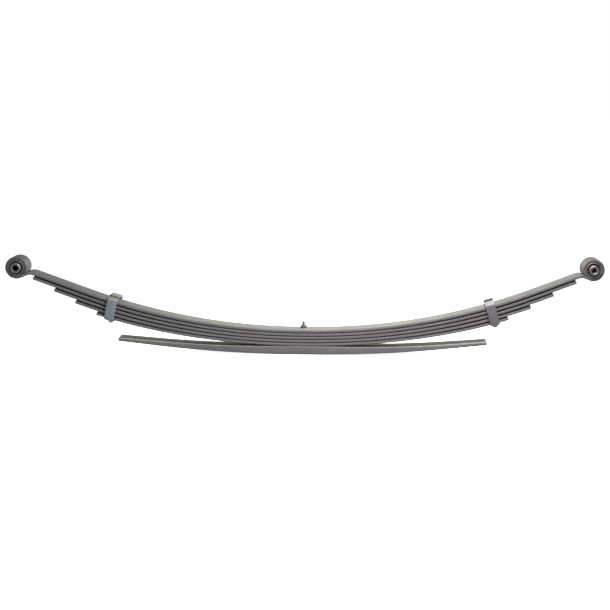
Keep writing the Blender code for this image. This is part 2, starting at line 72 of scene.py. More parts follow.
NUT_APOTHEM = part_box("centre_bolt_nut")[1].y

# Leaf stock
GRADED_LEAVES = ("main_leaf", "second_leaf", "third_leaf", "fourth_leaf", "fifth_leaf")
LEAF_THICKNESS = 0.0084
LEAF_CORNER = 0.0027
FIT_GAP = 0.0003
TIP_GAP = 0.0024
GAP_GROWS_FROM = 0.040
GAP_GROWS_TO = 0.620
STATION_STEP = 0.008
STATION_TOLERANCE = 1e-6
# No station is more than this many times its distance from the bolt's axis
STATION_BOUND = 1.2
CORNER_STEPS = 5
SMALLEST_CORNER = 0.0002
END_ROUNDING = 0.0007
END_STEPS = 3

# Painted shade under a leaf's bare end and on an eye, where the grooves between leaves have 1. The eye's
# begins this far past the second leaf's tip.
BARE_END_SHADE = 0.9
EYE_SHADE = 0.55
EYE_STARTS_PAST = 0.035

# Steps up through the grain, so that no two bars show the same stretch of it
LEAF_LAYER = 0.31
HALF_LAYER = 0.05
HELPER_LAYER = 2.4
CLIP_LAYER = 4.0

# Camber, eyes and helper
SEAT_HALF_LENGTH = 0.014
CAMBER_RADIUS = 1.686
EYE_BORE_RADIUS = 0.0208
EYE_ENTRY_ANGLE = math.radians(22)
EYE_SLOT = 0.0008
EYE_STEP = math.radians(5)
# Only the last quarter of the roll is skewed towards its slanting end
ROLL_SKEWED_FROM = 0.75
GOOSENECK_RADIUS = 0.030
GOOSENECK_STEPS = 12
HELPER_CENTRE_THICKNESS = 0.0230
HELPER_TIP_THICKNESS = 0.0084
HELPER_FULL_THICKNESS_TO = 0.045
HELPER_FLAT_TO = 0.020
HELPER_CAMBER_RADIUS = 3.45
HELPER_STRAIGHT_FROM = 0.400
HELPER_STEPS = 56

# Segments round a small, a middling and a large turned piece
SMALL_ROUND = 48
ROUND = 64
LARGE_ROUND = 96
SHARP_ANGLE = math.radians(34)

# Centre bolt and its nut
BOLT_RADIUS = 0.00475
BOLT_HEAD_RADIUS = 0.0080
BOLT_HEAD_HEIGHT = 0.0085
BOLT_HEAD_CHAMFER = 0.0008
BOLT_POINT_CHAMFER = 0.0006
THREAD_PITCH = 0.00106
THREAD_DEPTH = 0.00055
THREAD_ROWS_PER_TURN = 8
# The thread starts this far below the nut's top, and tapers by this slope at the bolt's point
THREAD_FROM = 0.012
THREAD_TAPER = 0.6
NUT_CHAMFER = 0.0013
NUT_CHAMFER_SLOPE = 0.5
NUT_CHAMFER_STEPS = 5
NUT_BORE_CHAMFER = 0.0005

# Rebound clips and rivets
CLIP_LENGTH = 0.025
CLIP_THICKNESS = 0.0045
CLIP_SIDE_CLEARANCE = 0.0008
CLIP_BEND_RADIUS = 0.0052
CLIP_LOW_FOLD_RISE = 0.0016
CLIP_FOLD_CLEARANCE = 0.0005
CLIP_FOLD_OVERLAP = 0.006
CLIP_CORNER = 0.0010
CLIP_BEND_STEPS = 10
RIVET_SHANK_RADIUS = 0.0040
RIVET_HEAD_RADIUS = 0.0068
RIVET_HEAD_HEIGHT = 0.0095
RIVET_HEAD_CHAMFER = 0.0005
RIVET_DOME_HEIGHT = 0.0045
RIVET_DOME_STEPS = 8
RIVET_HOLE_MARGIN = 0.002

# Pads between the leaf tips
PAD_INSET = 0.026
PAD_RADIUS = 0.0110
PAD_THICKNESS = 0.0016
PAD_CHAMFER = 0.0003
PAD_CLEARANCE = 0.00005

# Eye bushings
CAN_OUTER_RADIUS = 0.0203
CAN_BORE_RADIUS = 0.0179
CAN_LIP = 0.0004
RUBBER_DISH = 0.0030
RUBBER_CLEARANCE = 0.00008
RUBBER_STEPS = 8
SLEEVE_OUTER_RADIUS = 0.0133
SLEEVE_BORE_RADIUS = 0.0072
SLEEVE_CHAMFER = 0.0018
SERRATIONS = 40
SERRATION_DEPTH = 0.00022
SERRATION_MARGIN = 0.0004

# Coats: the stretch of a leaf over which its top darkens to the painted shade of its tips, and the shares of
# a coat's colour where it is darkest, lightest and under painted shade
TIP_SHADE_STRETCH = (0.25, 0.60)
COAT_DARKEST = 0.80
COAT_LIGHTEST = 1.18
PAINTED_SHADE_SHARE = 0.12

# Turned steel: the colours of sawn ends, a bore's painted shade and a bore's painted light, with the widths
# over which they set in
TURNED_METAL = 0.85
SAWN_STEEL = (0.075, 0.070, 0.071)
SAWN_EDGE = 0.0002
BORE_PAINTED_SHADE = (0.012, 0.011, 0.011)
BORE_PAINTED_LIGHT = (0.30, 0.24, 0.22)
BORE_EDGE = 0.0003

PITCH_AT_SEAT = LEAF_THICKNESS + FIT_GAP
MAIN_LEAF_Z = HELPER_CENTRE_THICKNESS + len(GRADED_LEAVES) * PITCH_AT_SEAT - LEAF_THICKNESS / 2
CENTRE_RADIUS = CAMBER_RADIUS - LEAF_THICKNESS / 2

# Camera
CAMERA_PLACE = Vector((0.1231, -4.0561, 0.7085))
CAMERA_TURN = (math.radians(81.084), math.radians(-0.588), math.radians(0.341))
SENSOR_WIDTH = 36.0
FOCAL_LENGTH = 90.81
LENS_SHIFT = (-0.0630, 0.0351)
VIEW_DEPTH = 100.0

# Studio: a lit floor just below the spring, and each light's name, place, size, power and colour
WHITE = (1.0, 1.0, 1.0, 1.0)
FLOOR_RADIUS = 30.0
FLOOR_Z = -0.0006
FLOOR_GLOW = 0.92
LIGHT_AIM = Vector((0.0, 0.0, 0.1))
LIGHTS = (
    ("overhead", (0.42, -0.10, 1.10), (0.8, 0.3), 122.0, (1.0, 0.995, 0.975)),
    ("key", (0.25, 3.0, 1.1), (1.1, 0.9), 6.0, (1.0, 0.995, 0.96)),
)


class Side:
    """One half of the spring, as in the frame: which way it points, its slope at the end and its clip.

    The clip's sides slant outward as they rise (lean) and towards +Y (skew). Its folds overlap at its seam.
    """

    def __init__(self, name, sign, end_angle, clip_station, clip_lean, clip_skew, clip_seam):
        self.name = name
        self.sign = sign
        self.end_angle = end_angle
        self.clip_station = clip_station
        self.clip_lean = clip_lean
        self.clip_skew = clip_skew
        self.clip_seam = clip_seam
        axis = JOINTS[name + "_sleeve_turn"]
        self.eye = Vector((abs(axis.x), axis.z))
        self.helper_reach = self.reach("helper_leaf")
        self.plane = Matrix(((sign, 0, 0, 0), (0, 0, 1, 0), (0, 1, 0, 0), (0, 0, 0, 1)))

    def reach(self, node):
        """How far the node goes out on this side."""
        low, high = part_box(node)
        return high.x if self.sign > 0 else -low.x

    def world(self, point, y=0.0):
        """A point (outward, up) of this half, in the spring's frame."""
        return Vector((self.sign * point.x, y, point.y))


SIDES = (
    Side("front", -1, end_angle=math.radians(19.6), clip_station=0.507, clip_lean=0.10,
         clip_skew=-0.075, clip_seam=-0.013),
    Side("rear", 1, end_angle=math.radians(21.0), clip_station=0.5015, clip_lean=0.0,
         clip_skew=0.030, clip_seam=0.021),
)


# Shape of the leaves, as in the CAD


def interleaf_gap(station):
    share = (station - GAP_GROWS_FROM) / (GAP_GROWS_TO - GAP_GROWS_FROM)
    share = min(max(share, 0.0), 1.0)
    return FIT_GAP + (TIP_GAP - FIT_GAP) * share * share * (3 - 2 * share)


def camber(side, station):
    """Centre line of the main leaf at a distance along it: the point (outward, up) and the slope there."""
    slope = min(max(station - SEAT_HALF_LENGTH, 0.0) / CENTRE_RADIUS, side.end_angle)
    straight = max(station - SEAT_HALF_LENGTH - CENTRE_RADIUS * side.end_angle, 0.0)
    outward = min(station, SEAT_HALF_LENGTH) + CENTRE_RADIUS * math.sin(slope) + straight * math.cos(slope)
    up = MAIN_LEAF_Z + CENTRE_RADIUS * (1 - math.cos(slope)) + straight * math.sin(slope)
    return Vector((outward, up)), slope


def heading(slope):
    return Vector((math.cos(slope), math.sin(slope)))


def normal(slope):
    return Vector((-math.sin(slope), math.cos(slope)))


def leaf_point(side, number, station, rise=0.0):
    """A point of graded leaf number (0 is the main leaf), rise above its mid-surface."""
    centre, slope = camber(side, station)
    drop = number * (LEAF_THICKNESS + interleaf_gap(station))
    return centre + normal(slope) * (rise - drop)


def station_at(side, number, reach):
    """The station at which the lower edge of a leaf is reach away from the bolt's axis."""
    low = 0.0
    high = STATION_BOUND * reach
    while high - low > STATION_TOLERANCE:
        middle = (low + high) / 2
        if leaf_point(side, number, middle, -LEAF_THICKNESS / 2).x < reach:
            low = middle
        else:
            high = middle
    return low


def tip_station(side, number):
    return station_at(side, number, side.reach(f"{GRADED_LEAVES[number]}_{side.name}_arm"))


def faces_at(side, number, station):
    """Upper and lower point of a leaf at a station."""
    half = LEAF_THICKNESS / 2
    return leaf_point(side, number, station, half), leaf_point(side, number, station, -half)


def stations_to(end):
    count = math.ceil(end / STATION_STEP)
    return [end * step / count for step in range(count + 1)]


def plain_pairs(side, number):
    """Upper and lower points of a half of the second to fifth leaf, from the bolt's axis to the tip."""
    return [faces_at(side, number, station) for station in stations_to(tip_station(side, number))]


def eye_pairs(side):
    """Upper and lower points of a main leaf half: camber, gooseneck bend, and the eye rolled up over it."""
    half = LEAF_THICKNESS / 2
    eye_radius = EYE_BORE_RADIUS + half
    run_in = heading(side.end_angle)
    run_out = heading(-EYE_ENTRY_ANGLE)
    entry = side.eye - normal(-EYE_ENTRY_ANGLE) * eye_radius
    straight_from = SEAT_HALF_LENGTH + CENTRE_RADIUS * side.end_angle
    start, _ = camber(side, straight_from)
    # Where the straight end of the camber meets the tangent that runs into the eye
    gap = entry - start
    along = (gap.x * run_out.y - gap.y * run_out.x) / (run_in.x * run_out.y - run_in.y * run_out.x)
    turn = side.end_angle + EYE_ENTRY_ANGLE
    trim = GOOSENECK_RADIUS * math.tan(turn / 2)
    bend_centre = start + run_in * (along - trim) - normal(side.end_angle) * GOOSENECK_RADIUS
    pairs = [faces_at(side, 0, station) for station in stations_to(straight_from + along - trim)[:-1]]
    for step in range(GOOSENECK_STEPS + 1):
        square = normal(side.end_angle - turn * step / GOOSENECK_STEPS)
        upper = bend_centre + square * (GOOSENECK_RADIUS + half)
        lower = bend_centre + square * (GOOSENECK_RADIUS - half)
        pairs.append((upper, lower))

    # The roll's end is trimmed parallel to the leaf, so that it closes down on it
    first = -math.pi / 2 - EYE_ENTRY_ANGLE
    reach = EYE_BORE_RADIUS - EYE_SLOT
    outer_radius = EYE_BORE_RADIUS + LEAF_THICKNESS
    inner_turn = 2 * math.pi - math.acos(reach / EYE_BORE_RADIUS)
    outer_turn = 2 * math.pi - math.acos(reach / outer_radius)
    steps = math.ceil(inner_turn / EYE_STEP)
    for step in range(steps + 1):
        share = step / steps
        skew = max(share - ROLL_SKEWED_FROM, 0.0) / (1 - ROLL_SKEWED_FROM)
        outer_share = share + (outer_turn / inner_turn - 1) * share * skew
        inner = side.eye + heading(first + inner_turn * share) * EYE_BORE_RADIUS
        outer = side.eye + heading(first + inner_turn * outer_share) * outer_radius
        pairs.append((inner, outer))
    return pairs


def helper_pairs():
    """Upper and lower points of the helper, as (along, up), from the front tip to the rear one."""
    halves = []
    for side in SIDES:
        half = []
        for step in range(1, HELPER_STEPS + 1):
            reach = side.helper_reach * step / HELPER_STEPS
            bent = min(reach, HELPER_STRAIGHT_FROM)
            slope = math.asin(max(bent - HELPER_FLAT_TO, 0.0) / HELPER_CAMBER_RADIUS)
            rise = HELPER_CAMBER_RADIUS * (1 - math.cos(slope)) + (reach - bent) * math.tan(slope)
            under = Vector((reach, rise))
            tapering = side.helper_reach - HELPER_FULL_THICKNESS_TO
            share = max(reach - HELPER_FULL_THICKNESS_TO, 0.0) / tapering
            thickness = HELPER_CENTRE_THICKNESS + (HELPER_TIP_THICKNESS - HELPER_CENTRE_THICKNESS) * share
            over = under + normal(slope) * thickness
            half.append([Vector((side.sign * point.x, point.y)) for point in (over, under)])
        halves.append(half)
    middle = [Vector((0.0, HELPER_CENTRE_THICKNESS)), Vector((0.0, 0.0))]
    return halves[0][::-1] + [middle] + halves[1]


def side_frame(side, point, slope):
    """Frame on a leaf: X outward along the leaf, Y across the spring, Z square to the leaf."""
    turn = Matrix.Rotation(-side.sign * slope, 4, "Y")
    face = Matrix.Rotation(0.0 if side.sign > 0 else math.pi, 4, "Z")
    return Matrix.Translation(side.world(point)) @ turn @ face


def clip_frame(side, number):
    _, slope = camber(side, side.clip_station)
    return side_frame(side, leaf_point(side, number, side.clip_station), slope)


# Mesh helpers


def new_object(name, mesh):
    obj = bpy.data.objects.new(name, mesh)
    bpy.context.scene.collection.objects.link(obj)
    return obj


def finished(name, shape):
    """The object made from a bmesh, facing out and shaded smooth with crisp edges."""
    bmesh.ops.recalc_face_normals(shape, faces=shape.faces)
    mesh = bpy.data.meshes.new(name)
    shape.to_mesh(mesh)
    shape.free()
    smooth(mesh)
    return new_object(name, mesh)


def smooth(mesh):
    mesh.shade_smooth()
    mesh.set_sharp_from_angle(angle=SHARP_ANGLE)


def section(width, thickness, corner):
    """Points round a bar's section as (across, up, edge, tilt).

    Edge is 1 in the middle of each rounded corner. Tilt is 0 on the sides, 1 on top and -1 underneath.
    """
    points = []
    for quarter, (across, up) in enumerate(((1, 1), (-1, 1), (-1, -1), (1, -1))):
        for step in range(CORNER_STEPS + 1):
            share = step / CORNER_STEPS
            direction = heading(math.pi / 2 * (quarter + share))
            points.append((
                across * (width / 2 - corner) + corner * direction.x,
                up * (thickness / 2 - corner) + corner * direction.y,
                math.sin(math.pi * share),
                direction.y,
            ))
    return points


def rounded_end(pair, before):
    """Rings that round off a bar's end at pair, as (upper, lower, inset), with before the pair next to it."""
    outward = ((pair[0] + pair[1]) - (before[0] + before[1])).normalized()
    rings = []
    for step in range(END_STEPS + 1):
        angle = math.pi / 2 * step / END_STEPS
        back = outward * END_ROUNDING * (1 - math.sin(angle))
        rings.append((pair[0] - back, pair[1] - back, END_ROUNDING * (1 - math.cos(angle))))
    return rings


def no_painted_shade(along, tilt):
    return 0.0


def bar(name, pairs, width, corner, place, layer=0.0, round_start=True, painted_shade_at=no_painted_shade):
    """A bar of flat stock through pairs of points on its upper and lower face.

    The pairs are drawn in a plane that place puts in the spring's frame. The strip attribute holds (along,
    across, up) in the unbent bar, with up raised by layer. Edge marks the bar's corners, sky the faces that
    look up, which take a painted top colour, and a third mark holds the painted shade that the given function
    gives for a distance along the bar and a tilt of its surface.
    """
    rings = [(upper, lower, 0.0) for upper, lower in pairs[1:-1]]
    start = rounded_end(pairs[0], pairs[1])[::-1] if round_start else [(*pairs[0], 0.0)]
    rings = start + rings + rounded_end(pairs[-1], pairs[-2])
    shape = bmesh.new()
    strip = shape.verts.layers.float_vector.new("strip")
    edge = shape.verts.layers.float.new("edge")
    sky = shape.verts.layers.float.new("sky")
    painted_shade = shape.verts.layers.float.new("painted_shade")
    rows = []
    along = 0.0
    last_middle = None
    for upper, lower, inset in rings:
        middle = (upper + lower) / 2
        along += (middle - last_middle).length if last_middle else 0.0
        last_middle = middle
        rise = (upper - lower).normalized()
        steep = (place.to_3x3() @ Vector((rise.x, rise.y, 0.0))).z
        row = []
        thickness = (upper - lower).length - 2 * inset
        ring_corner = max(corner - inset, SMALLEST_CORNER)
        for across, up, corner_share, tilt in section(width - 2 * inset, thickness, ring_corner):
            point = middle + rise * up
            vert = shape.verts.new(place @ Vector((point.x, point.y, across)))
            vert[strip] = (along, across, up + layer)
            vert[edge] = max(corner_share, min(inset / END_ROUNDING, 1.0))
            # Marks for painted light: the faces that look up take a painted top colour, and painted shade
            # falls where the given function says
            vert[sky] = max(tilt * steep, 0.0)
            vert[painted_shade] = painted_shade_at(along, tilt)
            row.append(vert)
        rows.append(row)
    for row, following in zip(rows, rows[1:]):
        for index in range(len(row)):
            beside = (index + 1) % len(row)
            shape.faces.new((row[index], row[beside], following[beside], following[index]))
    shape.faces.new(rows[0])
    shape.faces.new(rows[-1])
    return finished(name, shape)


def turned(name, rows, place, steps=ROUND, ring=False):
    """A turned piece about the Z axis of place, from rows that run round its half section.

    A row is (radius, height), or a function of the angle that gives them. A ring's last row joins its first,
    and a solid's end rows have no radius.
    """
    shape = bmesh.new()
    made = []
    for row in rows:
        if not callable(row) and row[0] == 0.0:
            made.append([shape.verts.new((0.0, 0.0, row[1]))])
            continue
        verts = []
        for step in range(steps):
            angle = 2 * math.pi * step / steps
            radius, height = row(angle) if callable(row) else row
            verts.append(shape.verts.new((radius * math.cos(angle), radius * math.sin(angle), height)))
        made.append(verts)
    for row, following in zip(made, made[1:] + made[:1] if ring else made[1:]):
        for index in range(steps):
            beside = (index + 1) % steps
            corners = [row[index % len(row)], row[beside % len(row)]]
            corners += [following[beside % len(following)], following[index % len(following)]]
            shape.faces.new(list(dict.fromkeys(corners)))
    obj = finished(name, shape)
    obj.matrix_world = place
    return obj


def drill(piece, place, radius, half_length):
    """Cuts a round hole along the Z axis of place."""
    profile = [(0.0, half_length), (radius, half_length), (radius, -half_length), (0.0, -half_length)]
    cutter = turned("cutter", profile, place, steps=SMALL_ROUND)
    boolean = piece.modifiers.new("hole", "BOOLEAN")
    boolean.operation = "DIFFERENCE"
    boolean.solver = "EXACT"
    boolean.object = cutter
    graph = bpy.context.evaluated_depsgraph_get()
    mesh = bpy.data.meshes.new_from_object(piece.evaluated_get(graph))
    piece.modifiers.clear()
    piece.data = mesh
    smooth(mesh)
    bpy.data.objects.remove(cutter, do_unlink=True)


# Materials


class Shader:
    """A node material with one Principled BSDF, and short ways to feed it."""

    def __init__(self, name, roughness=0.5, metallic=0.0, **constants):
        self.material = bpy.data.materials.new(name)
        self.material.use_nodes = True
        self.tree = self.material.node_tree
        self.surface = self.tree.nodes["Principled BSDF"]
        self.surface.inputs["Roughness"].default_value = roughness
        self.surface.inputs["Metallic"].default_value = metallic
        for socket, value in constants.items():
            self.surface.inputs[socket.replace("_", " ")].default_value = value

    def node(self, kind, inputs, **settings):
        added = self.tree.nodes.new(kind)
        for name, value in settings.items():
            setattr(added, name, value)
        for name, value in inputs.items():
            if isinstance(value, bpy.types.NodeSocket):
                self.tree.links.new(value, added.inputs[name])
            else:
                added.inputs[name].default_value = value
        return added

    def feed(self, socket, value):
        self.tree.links.new(value, self.surface.inputs[socket])

    def strip(self):
        return self.node("ShaderNodeAttribute", {}, attribute_name="strip").outputs["Vector"]

    def marked(self, attribute):
        return self.node("ShaderNodeAttribute", {}, attribute_name=attribute).outputs["Fac"]

    def local(self):
        return self.node("ShaderNodeTexCoord", {}).outputs["Object"]

    def noise(self, coordinates, scale, detail=4.0, roughness=0.55):
        """Noise with a scale of its own along each axis, in cells per metre."""
        stretched = self.node("ShaderNodeVectorMath", {0: coordinates, 1: scale}, operation="MULTIPLY")
        inputs = {"Vector": stretched.outputs[0], "Scale": 1.0, "Detail": detail, "Roughness": roughness}
        return self.node("ShaderNodeTexNoise", inputs).outputs["Fac"]

    def maths(self, operation, first, second=0.0, third=0.0):
        return self.node("ShaderNodeMath", {0: first, 1: second, 2: third}, operation=operation).outputs[0]

    def spread(self, value, low, high, to_low=0.0, to_high=1.0):
        """Maps value from low..high to to_low..to_high, clamped."""
        inputs = {"Value": value, "From Min": low, "From Max": high, "To Min": to_low, "To Max": to_high}
        return self.node("ShaderNodeMapRange", inputs).outputs["Result"]

    def blend(self, share, first, second, mode="MIX"):
        mixing = self.node("ShaderNodeMix", {"Factor": share}, data_type="RGBA", blend_type=mode)
        for socket, value in (("A", first), ("B", second)):
            target = [found for found in mixing.inputs if found.name == socket and found.type == "RGBA"][0]
            if isinstance(value, bpy.types.NodeSocket):
                self.tree.links.new(value, target)
            else:
                target.default_value = (*value, 1.0)
        return [found for found in mixing.outputs if found.type == "RGBA"][0]

    def shaded(self, colour, share):
        return self.blend(1.0, colour, [share] * 3, mode="MULTIPLY")

    def bump(self, height, strength, distance):
        made = self.node("ShaderNodeBump", {"Height": height, "Strength": strength, "Distance": distance})
        self.feed("Normal", made.outputs["Normal"])


def coated_steel(name, colour, painted_top, worn_and_lit, shine, painted_top_at_tips=None):
    """Thin satin coating over rolled stock: streaks along the bar, faint clouds, lighter corners (rubbed wear
    and a painted highlight) and painted shade.

    Its faces that look up take a painted top colour that stands in for the light falling on them, and it may
    darken towards a leaf's tips as painted shade. Shine is how much the plain faces reflect, and the corners
    and the painted shade stay dull.
    """
    shader = Shader(name)
    place = shader.strip()
    # Painted light: the faces that look up take a top colour of their own, and a darker one towards a leaf's
    # tips, for how the light falls on them
    sky = shader.spread(shader.marked("sky"), 0.35, 0.75)
    along = shader.node("ShaderNodeSeparateXYZ", {"Vector": place}).outputs["X"]
    tips = shader.spread(along, *TIP_SHADE_STRETCH)
    second_tone = shader.blend(tips, painted_top, painted_top_at_tips or painted_top)
    base = shader.blend(sky, colour, second_tone)
    dark = shader.shaded(base, COAT_DARKEST)
    light = shader.shaded(base, COAT_LIGHTEST)
    clouds = shader.noise(place, (14.0, 45.0, 60.0), detail=5.0)
    streaks = shader.noise(place, (22.0, 620.0, 620.0), detail=3.0)
    grain = shader.noise(place, (900.0, 1500.0, 1500.0), detail=2.0)
    tone = shader.maths("MULTIPLY_ADD", streaks, 0.45, shader.maths("MULTIPLY", clouds, 0.55))
    tone = shader.maths("MULTIPLY_ADD", grain, 0.25, tone)
    coat = shader.blend(shader.spread(tone, 0.40, 0.85), dark, light)
    chips = shader.noise(place, (160.0, 240.0, 240.0), detail=6.0, roughness=0.7)
    # Lighter, patchy corners: rubbed wear, and partly a painted highlight along the edges
    wear_and_highlight = shader.maths("MULTIPLY", shader.marked("edge"), shader.spread(chips, 0.50, 0.66))
    wear_and_highlight = shader.spread(wear_and_highlight, 0.35, 0.95, 0.0, 0.75)
    # Painted shade: where the bar's shade mark is set, the coat darkens towards black in cloudy patches
    painted_shade = shader.maths("MULTIPLY", shader.marked("painted_shade"), shader.spread(clouds, 0.30, 0.60, 0.9, 1.3))
    painted_shade = shader.spread(painted_shade, 0.40, 1.05, 0.0, 0.85)
    black = [PAINTED_SHADE_SHARE * value for value in colour]
    shader.feed("Base Color", shader.blend(painted_shade, shader.blend(wear_and_highlight, coat, worn_and_lit), black))
    dull = shader.maths("MAXIMUM", painted_shade, shader.marked("edge"))
    shader.feed("Specular IOR Level", shader.spread(dull, 0.0, 0.8, shine, 0.02))
    shader.feed("Roughness", shader.spread(tone, 0.35, 0.90, 0.46, 0.62))
    height = shader.maths("MULTIPLY_ADD", streaks, 0.6, grain)
    shader.bump(shader.maths("MULTIPLY_ADD", clouds, 2.0, height), 0.22, 0.0004)
    return shader.material


def machined_steel(name, colour, rust, rust_share, cut_end=None, bore=None, painted_bore=BORE_PAINTED_SHADE):
    """Turned steel with fine rings about its axis, and a brown bloom where oil has dried.

    A tube is sawn on its ends, beyond cut_end from its middle, and within its bore's radius takes a flat
    colour, painted light and shade for the inside of the bore.
    """
    shader = Shader(name, metallic=TURNED_METAL)
    place = shader.local()
    parts = shader.node("ShaderNodeSeparateXYZ", {"Vector": place}).outputs
    squares = [shader.maths("POWER", parts[axis], 2.0) for axis in "XY"]
    radius = shader.maths("SQRT", shader.maths("ADD", *squares))
    rings = shader.node("ShaderNodeCombineXYZ", {"X": radius, "Y": parts["Z"]}).outputs["Vector"]
    lines = shader.noise(rings, (2600.0, 1400.0, 1.0), detail=3.0)
    bloom = shader.noise(place, (110.0, 110.0, 70.0), detail=5.0, roughness=0.6)
    dark = [0.72 * value for value in colour]
    metal = shader.blend(shader.spread(lines, 0.30, 0.70), dark, colour)
    stain = shader.spread(bloom, 0.48, 0.72, 0.0, rust_share)
    metal = shader.blend(stain, metal, rust)
    if cut_end:
        beyond = shader.maths("ABSOLUTE", parts["Z"])
        metal = shader.blend(shader.spread(beyond, cut_end - SAWN_EDGE, cut_end), metal, SAWN_STEEL)
    # Painted light and shade in the bore: a flat colour with no metal or reflection
    if bore:
        outside = shader.spread(radius, bore, bore + BORE_EDGE)
        metal = shader.blend(outside, painted_bore, metal)
        shader.feed("Metallic", shader.spread(outside, 0.0, 1.0, 0.0, TURNED_METAL))
        shader.feed("Specular IOR Level", shader.spread(outside, 0.0, 1.0, 0.0, 0.5))
    shader.feed("Base Color", metal)
    shader.feed("Roughness", shader.spread(bloom, 0.35, 0.70, 0.50, 0.68))
    shader.bump(lines, 0.12, 0.0001)
    return shader.material


def dark_steel(name, colour):
    """Oiled black fastener steel, with lighter rubbed spots."""
    shader = Shader(name, metallic=0.6)
    place = shader.local()
    spots = shader.noise(place, (420.0, 420.0, 420.0), detail=5.0, roughness=0.65)
    grain = shader.noise(place, (2600.0, 2600.0, 2600.0), detail=2.0)
    light = [2.6 * value for value in colour]
    shader.feed("Base Color", shader.blend(shader.spread(spots, 0.42, 0.78), colour, light))
    shader.feed("Roughness", shader.spread(spots, 0.3, 0.7, 0.36, 0.56))
    shader.bump(shader.maths("MULTIPLY_ADD", spots, 1.5, grain), 0.2, 0.0002)
    return shader.material


def rubber(name, colour):
    """Matt black rubber with a dusty bloom and moulding grain."""
    shader = Shader(name)
    place = shader.local()
    dust = shader.noise(place, (180.0, 180.0, 180.0), detail=4.0)
    grain = shader.noise(place, (3000.0, 3000.0, 3000.0), detail=2.0)
    second_tone = [3.0 * value for value in colour]
    shader.feed("Base Color", shader.blend(shader.spread(dust, 0.45, 0.80), colour, second_tone))
    shader.feed("Roughness", shader.spread(dust, 0.3, 0.7, 0.62, 0.82))
    shader.bump(grain, 0.25, 0.0002)
    return shader.material


def pad_plastic(name, colour):
    """Dark slide-pad plastic, polished in patches by rubbing."""
    shader = Shader(name)
    place = shader.local()
    patches = shader.noise(place, (220.0, 220.0, 220.0), detail=4.0)
    light = [1.7 * value for value in colour]
    shader.feed("Base Color", shader.blend(shader.spread(patches, 0.40, 0.75), colour, light))
    shader.feed("Roughness", shader.spread(patches, 0.35, 0.65, 0.60, 0.35))
    shader.bump(patches, 0.15, 0.0003)
    return shader.material


# Pieces


def carried(piece, body, slot, material, *nodes):
    """Gives a piece its finish, hides the CAD nodes it stands for and, if it is rigid, sets it on the body it
    rides on.
    """
    piece.data.materials.clear()
    piece.data.materials.append(material)
    if body:
        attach(piece, body)
    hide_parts(*nodes)


def leaf_half(side, number, material):
    """Half of a graded leaf, drilled for the centre bolt, running from the seat out to its arm."""
    leaf = GRADED_LEAVES[number]
    arm = f"{leaf}_{side.name}_arm"
    pairs = plain_pairs(side, number) if number else eye_pairs(side)
    last = len(GRADED_LEAVES) - 1
    covered_to = tip_station(side, number + 1) if number < last else 0.0

    def painted_shade_at(along, tilt):
        """Painted shade where leaves meet, with less of it under the bare ends and all over the eyes."""
        if number == 0 and along > covered_to + EYE_STARTS_PAST:
            return EYE_SHADE
        if tilt > 0:
            return tilt if number else 0.0
        if along < covered_to:
            return -tilt
        return -tilt * BARE_END_SHADE if number else 0.0

    piece = bar(f"{leaf}_{side.name}_half", pairs, LEAF_WIDTH, LEAF_CORNER, side.plane,
                layer=LEAF_LAYER * number + HALF_LAYER * side.sign, round_start=False, painted_shade_at=painted_shade_at)
    middle = Matrix.Translation((0.0, 0.0, MAIN_LEAF_Z - number * PITCH_AT_SEAT))
    drill(piece, middle, BOLT_RADIUS + FIT_GAP, LEAF_THICKNESS)
    if number == last:
        drill(piece, clip_frame(side, number), RIVET_SHANK_RADIUS + FIT_GAP, LEAF_THICKNESS)
    carried(piece, None, "leaf_paint", material, leaf + "_centre", arm)
    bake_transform(piece)


def helper(material):
    """The thick leaf under the others, drilled for the centre bolt and counterbored for its head."""
    plane = Matrix(((1, 0, 0, 0), (0, 0, 1, 0), (0, 1, 0, 0), (0, 0, 0, 1)))
    piece = bar("helper_leaf_bar", helper_pairs(), LEAF_WIDTH, LEAF_CORNER, plane, layer=HELPER_LAYER)
    drill(piece, Matrix(), BOLT_RADIUS + FIT_GAP, 2 * HELPER_CENTRE_THICKNESS)
    drill(piece, Matrix(), BOLT_HEAD_RADIUS + 2 * FIT_GAP, BOLT_UNDER_Z + BOLT_HEAD_HEIGHT + FIT_GAP)
    carried(piece, "seat", "leaf_paint", material, "helper_leaf")


def centre_bolt(material):
    """Bolt with a round head in the helper's counterbore and a rolled thread up through the nut."""
    head_top = BOLT_UNDER_Z + BOLT_HEAD_HEIGHT
    rows = [(0.0, BOLT_UNDER_Z), (BOLT_HEAD_RADIUS - BOLT_HEAD_CHAMFER, BOLT_UNDER_Z),
            (BOLT_HEAD_RADIUS, BOLT_UNDER_Z + BOLT_HEAD_CHAMFER),
            (BOLT_HEAD_RADIUS, head_top), (BOLT_RADIUS, head_top)]
    step = THREAD_PITCH / THREAD_ROWS_PER_TURN
    start = NUT_TOP_Z - THREAD_FROM
    end = BOLT_END_Z - THREAD_DEPTH

    def thread(height):
        def row(angle):
            turn = (height / THREAD_PITCH - angle / (2 * math.pi)) % 1.0
            groove = THREAD_DEPTH * (1 - abs(2 * turn - 1))
            run_in = min(max((height - start) / THREAD_PITCH, 0.0), 1.0)
            chamfer = max(height - (end - 2 * THREAD_DEPTH), 0.0) * THREAD_TAPER
            return BOLT_RADIUS - max(groove * run_in, chamfer), height
        return row

    rows += [thread(start + step * count) for count in range(int((end - start) / step) + 1)]
    root = BOLT_RADIUS - 1.6 * THREAD_DEPTH
    rows += [(root, end + 0.5 * THREAD_DEPTH), (root - BOLT_POINT_CHAMFER, BOLT_END_Z), (0.0, BOLT_END_Z)]
    bolt = turned("centre_bolt_threaded", rows, Matrix(), steps=SMALL_ROUND)
    carried(bolt, "seat", "fastener_steel", material, "centre_bolt")


